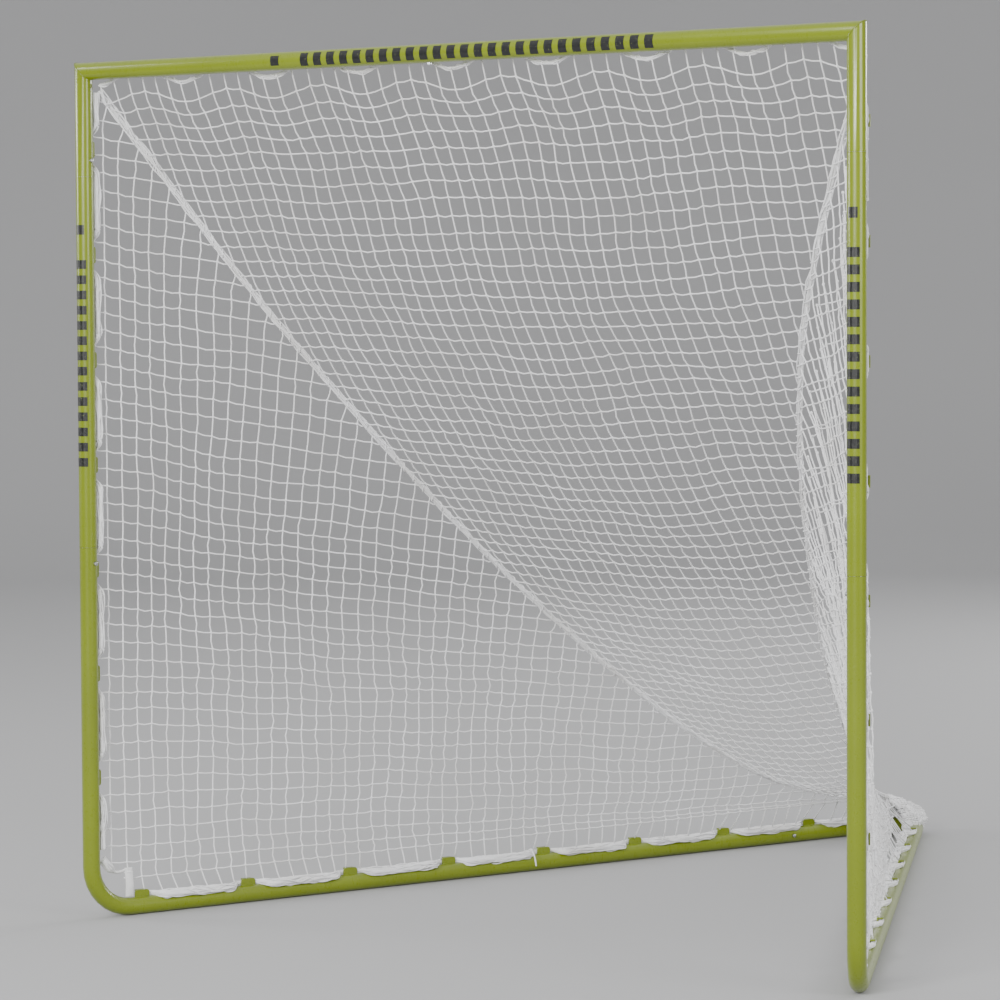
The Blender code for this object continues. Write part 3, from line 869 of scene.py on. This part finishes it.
def make_corner_straps(side):
    """At the foot of a post: the net's rolled corner and its tab to the base bar."""
    inward = bar_direction(side)
    post = side_point(side, POST_X, 0, ROLL_HEIGHT)
    tab_foot = bar_point(side, BASE_HOOK_FIRST - 0.034)
    tab_top = tab_foot + UP * TAB_HEIGHT
    start = post + (inward * 0.9 + BACK * 0.4).normalized() * (TUBE_R + 0.010)
    middle = start.lerp(tab_top, 0.48) - UP * 0.016
    line = smooth_line([start, middle, tab_top], np.linspace(0, 1, 60))
    taper = 1 - np.clip((np.linspace(0, 1, 60) - 0.30) / 0.2, 0, 1)
    strands = Strands()
    strands.cord(line, 0.0026 + 0.0078 * taper, 12, lobes=3, pitch=0.05)
    bundle(strands, line, 0.0060, 9, 31, 0.35 + 1.4 * taper)
    strands.build(f"corner_roll_{side}", WEBBING, "cord")
    low = tab_foot + UP * (TUBE_R + 0.003) - outward(side) * 0.004
    line = smooth_line([tab_top + UP * 0.004, tab_top.lerp(low, 0.5) - outward(side) * 0.004,
                        low], np.linspace(0, 1, 20))
    across = [inward + UP * 0.12 * math.sin(i * 0.8) for i in range(20)]
    tab = ribbon(line, across, TAB_WIDTH, TAB_THICKNESS)
    add_piece(f"corner_tab_{side}", tab, WEBBING)
    loops = Strands()
    for height in (0.006, 0.018):
        ring = [tab_top - UP * height + inward * 0.0105 * math.cos(a)
                + outward(side) * 0.0042 * math.sin(a) for a in np.linspace(0, 6.9, 30)]
        loops.cord(ring, CORD_R * 0.8, 6)
    loops.build(f"corner_tie_{side}", CORD, "cord")


HOOD_FOLDS = 27
HOOD_STEPS = 46
HOOD_WRAP = 1.48                # how far the hood reaches round the apex, in radians
HOOD_PROUD = 0.026              # stands outside the base bars' centre lines
HOOD_SKIRT = 0.030              # height of its lower edges
HOOD_TUCK = 0.045               # pull of its rear edge in under the apex


def hood_profile():
    """The middle of the gathered net's way over the apex, inside to back, as (y, z)."""
    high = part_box("apex_hood")[1]
    top = BASE_Z + TUBE_R
    return [(high.y - 0.190, PEAK_HEIGHT + 0.026), (high.y - 0.125, PEAK_HEIGHT + 0.018),
            (high.y - 0.070, top + 0.044), (high.y - 0.026, top + 0.036),
            (high.y + 0.012, top + 0.018), (high.y + 0.020, BASE_Z + 0.012),
            (high.y + 0.012, BASE_Z - 0.006)]


def make_hood():
    """Net gathered over the apex: lumpy folds side by side, with loose cords on them."""
    stations = np.linspace(0, 1, HOOD_STEPS)
    core = smooth_line([(0, y, z) for y, z in hood_profile()], stations)
    spread = abs(BAR_DIRECTION.x / BAR_DIRECTION.y)
    crossing = LINE_Y + POST_X / spread
    folds, loose = Strands(), Strands()
    grid = []
    for k in range(HOOD_FOLDS):
        share = 2 * k / (HOOD_FOLDS - 1) - 1
        wrap = share * HOOD_WRAP
        path, girth = [], []
        for i, point in enumerate(core):
            s = stations[i]
            wave = noise.noise(Vector((k * 1.7, s * 5, 9.0)))
            lift = noise.noise(Vector((k * 2.3, s * 7, 3.0)))
            wide = max(spread * (crossing - point[1]), 0.018) + HOOD_PROUD
            wide *= 0.62 + 0.38 * min(s / 0.35, 1.0)
            fall = max(point[2] - HOOD_SKIRT, 0.0)
            tuck = HOOD_TUCK * clamp((s - 0.45) / 0.3)
            bend = 1 - math.cos(wrap)
            place = point + np.array((wide * math.sin(wrap) + 0.004 * wave,
                                      0.004 * lift * s - tuck * bend,
                                      0.005 * lift - fall * bend))
            place[2] = max(place[2], FLOOR_Z + 0.008)
            path.append(place)
            girth.append(0.0036 + 0.0030 * noise.noise(Vector((k * 3.3, s * 22, 1))))
        folds.cord(path, girth, 8)
        grid.append(np.array(path))
    rng = random.Random(40)
    heart = np.array((0, crossing - 0.10, BASE_Z))
    for i in range(1, HOOD_STEPS - 1, 2):
        row = []
        for k in range(HOOD_FOLDS):
            away = grid[k][i] - heart
            away *= 0.0050 / np.linalg.norm(away)
            row.append(grid[k][i] + away)
            if k % 2:
                loose.knot(row[-1], (1, 0, 0), rng)
            if k < HOOD_FOLDS - 1:
                row.append((grid[k][i] + grid[k + 1][i]) / 2 + away * rng.uniform(0.2, 1.1))
        loose.cord(row, CORD_R, 5)
    for k in range(HOOD_FOLDS - 1):
        lifted = (grid[k] + grid[k + 1]) / 2
        away = lifted - heart
        loose.cord(lifted + away * 0.0040 / np.linalg.norm(away, axis=1)[:, None], CORD_R, 5)
    folds.build("apex_net_hood", CORD, "cord", replaced=["apex_hood"])
    loose.build("apex_hood_mesh", CORD, "cord")
    hem = Strands()
    rim = smooth_line([grid[k][-1] for k in range(HOOD_FOLDS)], np.linspace(0, 1, 90))
    hem.cord(rim, EDGE_R, 8, lobes=3, pitch=0.024)
    bundle(hem, rim, 0.0050, 7, 44)
    hem.build("apex_hem", ROPE, "cord")


def make_tail():
    """The loose end of the edge cord, tied off on the left base bar."""
    start = base_rope("left", 1.16) - outward("left") * 0.012
    inward = -outward("left")
    points = [start, start + inward * 0.020 + UP * 0.012, start + inward * 0.034 - UP * 0.006,
              start + inward * 0.040 - UP * 0.026]
    strands = Strands()
    strands.cord(smooth_line(points, np.linspace(0, 1, 20)), CORD_R * 1.2, 6)
    strands.knot(start + UP * 0.003, (1, 0.3, 0), random.Random(7), (0.008, 0.006, 0.006))
    strands.build("tied_end", CORD, "cord")


# ---- welds and marks ------------------------------------------------------------------
HOOK_BEAD_R = 0.0013
MITRE_BEAD_R = 0.0011


def bead(strands, line, radius, seed):
    """A weld bead: overlapping ripples along a line."""
    ripple = np.array([radius * (1 + 0.22 * abs(math.sin(i * 0.9))
                                 + 0.15 * noise.noise(Vector((i * 0.4, seed, 0))))
                       for i in range(len(line))])
    strands.cord(line, ripple, 7)


def hook_welds(strands, origin, along_tube, out, lip, seed):
    """Fillet welds on both faces of a hook's foot."""
    for face in (-1, 1):
        line = []
        for i in range(15):
            run = (i / 14 - 0.5) * HOOK_LENGTH * 0.94
            line.append(origin + along_tube * run + out * (TUBE_R - 0.0003)
                        + lip * face * (HOOK_T / 2 + 0.0004))
        bead(strands, line, HOOK_BEAD_R, seed + face)


def make_welds():
    for side in SIDES:
        strands = Strands()
        lip = Vector((sign(side), 0, 0))
        for number, z in enumerate(post_hooks()):
            hook_welds(strands, side_point(side, POST_X, 0, z), UP, BACK, lip, number)
        for number, distance in enumerate(base_hooks()):
            hook_welds(strands, bar_point(side, distance), bar_direction(side), UP,
                       outward(side), 20 + number)
        for number in range(4):
            x = (number + 0.5) * BAR_HOOK_PITCH
            hook_welds(strands, side_point(side, x, 0, BAR_Z), Vector((1, 0, 0)), BACK, UP,
                       40 + number)
        mitre = []
        for i in range(73):
            turn = 2 * math.pi * i / 72
            reach = TUBE_R * math.cos(turn)
            mitre.append(side_point(side, POST_X + reach, 0, BAR_Z + reach)
                         + BACK * TUBE_R * math.sin(turn) * 1.002)
        bead(strands, mitre, MITRE_BEAD_R, 60)
        strands.build(f"welds_{side}", WELD, "paint")


PATCH_STEPS = 7
INK_LIFT = 0.00035


def patch(corners, axis_point, axis, zero):
    """A thin printed patch on a tube, between two corners given as (along, round)."""
    work = bmesh.new()
    cross = axis.cross(zero)
    steps = PATCH_STEPS
    (a0, r0), (a1, r1) = corners
    turns = [(r0 + (r1 - r0) * k / (steps - 1)) / TUBE_R for k in range(steps)]
    grid = [[(run, turn) for turn in turns] for run in (a0, a1)]
    verts = {}
    for layer in (0, 1):
        reach = TUBE_R + INK_LIFT * (0.2 + 0.8 * layer)
        for i, ring in enumerate(grid):
            for k, (run, turn) in enumerate(ring):
                point = (axis_point + axis * run
                         + (zero * math.cos(turn) + cross * math.sin(turn)) * reach)
                verts[layer, i, k] = work.verts.new(point)
    for layer in (0, 1):
        for k in range(steps - 1):
            work.faces.new((verts[layer, 0, k], verts[layer, 1, k], verts[layer, 1, k + 1],
                            verts[layer, 0, k + 1]))
    for i in (0, 1):
        for k in range(steps - 1):
            work.faces.new((verts[0, i, k], verts[0, i, k + 1], verts[1, i, k + 1],
                            verts[1, i, k]))
    for k in (0, steps - 1):
        work.faces.new((verts[0, 0, k], verts[1, 0, k], verts[1, 1, k], verts[0, 1, k]))
    bmesh.ops.recalc_face_normals(work, faces=work.faces)
    return work


def join_patches(name, works):
    mesh = bpy.data.meshes.new(name)
    whole = bmesh.new()
    for work in works:
        part = bpy.data.meshes.new("part")
        work.to_mesh(part)
        work.free()
        whole.from_mesh(part)
        bpy.data.meshes.remove(part)
    whole.to_mesh(mesh)
    whole.free()
    return add_piece(name, mesh, INK)


MARK_PITCH = 0.033
MARK_WIDTH = 0.019
MARK_TALL = 0.029
CROSSBAR_MARKS = (-0.345, 26)   # the first bar's place along the tube, and how many
POST_MARKS = (-1.440, 14)


def bar_marks(name, axis_point, axis, start, count):
    """A plain row of evenly spaced bars with a square before them."""
    front = Vector((0, -1, 0))
    square = start - 2.3 * MARK_PITCH
    works = [patch(((square, -MARK_TALL * 0.36), (square + MARK_TALL * 0.72, MARK_TALL * 0.36)),
                   axis_point, axis, front)]
    for i in range(count):
        run = start + MARK_PITCH * i
        works.append(patch(((run, -MARK_TALL / 2), (run + MARK_WIDTH, MARK_TALL / 2)),
                           axis_point, axis, front))
    join_patches(name, works)


def make_marks():
    bar_marks("mark_crossbar", at(0, 0, BAR_Z), Vector((1, 0, 0)), *CROSSBAR_MARKS)
    for side in SIDES:
        post = side_point(side, POST_X, 0, 0)
        bar_marks(f"mark_post_{side}", post, -UP, *POST_MARKS)


# ---- stage, light and camera ----------------------------------------------------------
CAMERA_AT = (4.040, -6.166, 1.298)    # from the goal line
CAMERA_YAW = 32.38                    # degrees
CAMERA_PITCH = -2.79
CAMERA_ROLL = -0.27
CAMERA_LENS = 130.2                   # mm, on a 36 mm sensor


def make_camera():
    data = bpy.data.cameras.new("camera")
    data.lens = CAMERA_LENS
    data.sensor_width = 36
    data.clip_start, data.clip_end = 0.1, 200
    camera = bpy.data.objects.new("camera", data)
    bpy.context.scene.collection.objects.link(camera)
    turn = (Matrix.Rotation(math.radians(CAMERA_YAW), 4, "Z")
            @ Matrix.Rotation(math.radians(CAMERA_PITCH), 4, "X")
            @ Matrix.Rotation(math.radians(90), 4, "X")
            @ Matrix.Rotation(math.radians(CAMERA_ROLL), 4, "Z"))
    camera.matrix_world = Matrix.Translation(at(*CAMERA_AT)) @ turn
    bpy.context.scene.camera = camera


def area_light(name, place, target, size, power):
    data = bpy.data.lights.new(name, "AREA")
    data.shape = "RECTANGLE"
    data.size, data.size_y = size
    data.energy = power
    lamp = bpy.data.objects.new(name, data)
    bpy.context.scene.collection.objects.link(lamp)
    lamp.location = place
    lamp.rotation_euler = (Vector(target) - Vector(place)).to_track_quat("-Z", "Y").to_euler()
    lamp.visible_camera = False


# distance from the middle and height
STAGE_PROFILE = [(0, 0), (6, 0), (10.5, 0), (11.6, 0.16), (12.6, 0.62), (13.4, 1.4),
                 (13.9, 2.4), (14.2, 4.0), (14.3, 7.5)]
STAGE_SEGMENTS = 96
FLOOR_GAP = 0.0006


def make_stage():
    """A plain pale floor that curves up into a surround."""
    work = bmesh.new()
    rings = []
    for reach, height in STAGE_PROFILE[1:]:
        ring = []
        for i in range(STAGE_SEGMENTS):
            turn = 2 * math.pi * i / STAGE_SEGMENTS
            ring.append(work.verts.new((reach * math.cos(turn), reach * math.sin(turn),
                                        FLOOR_Z - FLOOR_GAP + height)))
        rings.append(ring)
    work.faces.new(rings[0])
    for first, second in zip(rings, rings[1:]):
        for i in range(STAGE_SEGMENTS):
            j = (i + 1) % STAGE_SEGMENTS
            work.faces.new((first[i], second[i], second[j], first[j]))
    mesh = bpy.data.meshes.new("floor")
    work.to_mesh(mesh)
    work.free()
    mesh.shade_smooth()
    floor = bpy.data.objects.new("floor", mesh)
    bpy.context.scene.collection.objects.link(floor)
    made, tree, shader = new_material("pale_floor")
    shader.inputs["Base Color"].default_value = (0.42, 0.42, 0.425, 1)
    shader.inputs["Roughness"].default_value = 0.95
    shader.inputs["Specular IOR Level"].default_value = 0.1
    mesh.materials.append(made)
    world = bpy.data.worlds.new("studio")
    world.use_nodes = True
    sky = world.node_tree.nodes["Background"]
    sky.inputs["Color"].default_value = (1, 1, 1, 1)
    sky.inputs["Strength"].default_value = 0.90
    bpy.context.scene.world = world


def make_lights():
    area_light("key", (1.2, -8.0, 3.3), (0, 0, 0.9), (3.2, 2.0), 620)
    area_light("side", (7.8, -2.4, 2.8), (0, 0, 0.9), (3.4, 2.4), 260)
    area_light("fill", (-7.4, -3.5, 2.8), (0, 0, 0.9), (2.5, 2.2), 260)
    area_light("rear", (2.5, 8.0, 3.3), (0, 0, 0.8), (4.0, 2.2), 460)


make_camera()
make_stage()
make_lights()
dress_frame()
make_springs()
make_back_net()
for hand in SIDES:
    make_side_net(hand)
    make_seam(hand)
    make_post_border(hand)
    make_base_border(hand)
    make_corner_straps(hand)
make_crossbar_border()
make_hood()
make_tail()
make_welds()
make_marks()
